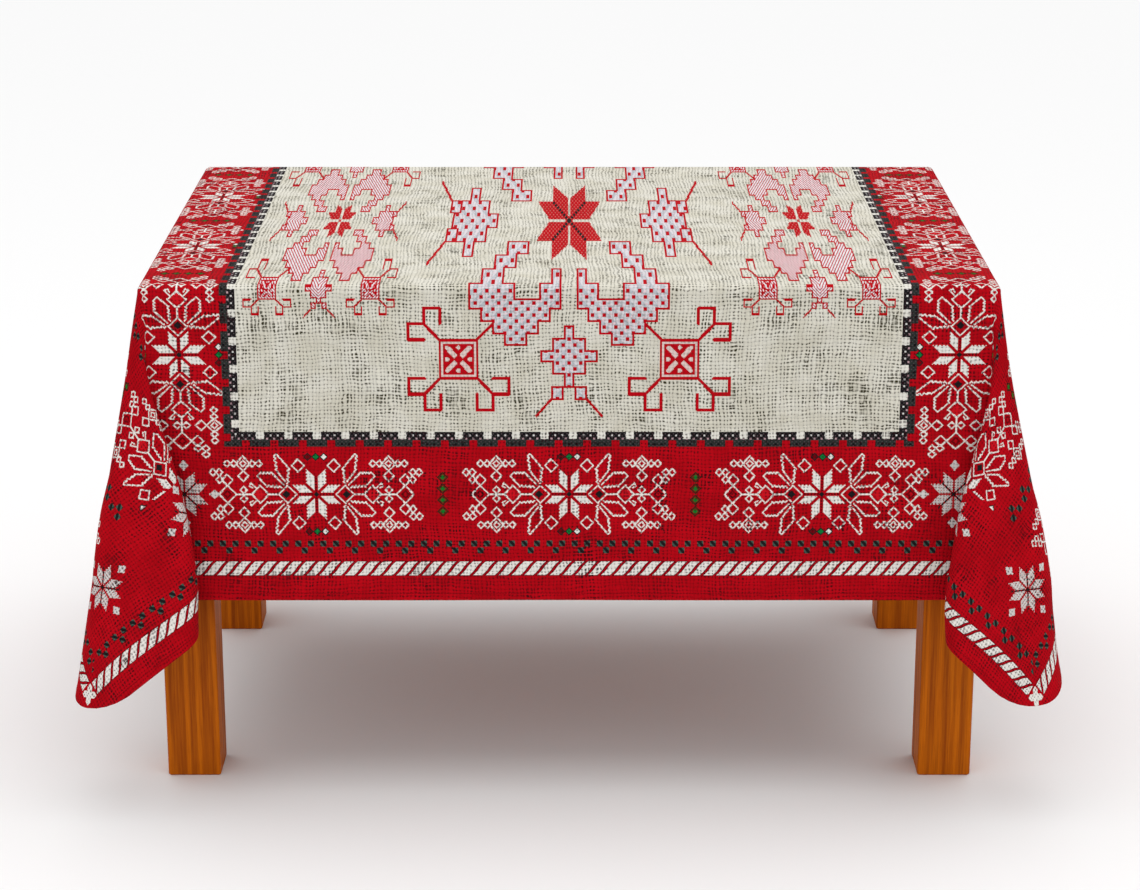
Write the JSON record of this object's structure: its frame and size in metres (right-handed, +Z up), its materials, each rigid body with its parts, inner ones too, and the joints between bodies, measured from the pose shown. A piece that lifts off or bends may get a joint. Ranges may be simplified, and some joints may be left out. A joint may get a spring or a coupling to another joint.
{
  "type": "tablecloth draped over a wooden table",
  "caption": "Rectangular tablecloth with a bordered geometric print, draped over a plain wooden table so that its corners fall in folded lobes below the hem.",
  "frame": {"origin": "on the floor, under the middle of the object's box", "axes": "+X along the table's length to the right, +Y to the back, +Z up"},
  "size_m": [1.413, 0.9914, 0.769],
  "materials": {
    "cloth": "matte woven cloth, red border and natural centre",
    "board": "satin",
    "leg": "satin, warm brown stain",
    "apron": "satin"
  },
  "bodies": {
    "root": {"cloth": "cloth", "table_top": "board", "leg_front_left": "leg", "leg_front_right": "leg", "leg_back_left": "leg", "leg_back_right": "leg", "apron_front": "apron", "apron_back": "apron", "apron_left": "apron", "apron_right": "apron"}
  },
  "joints": []
}
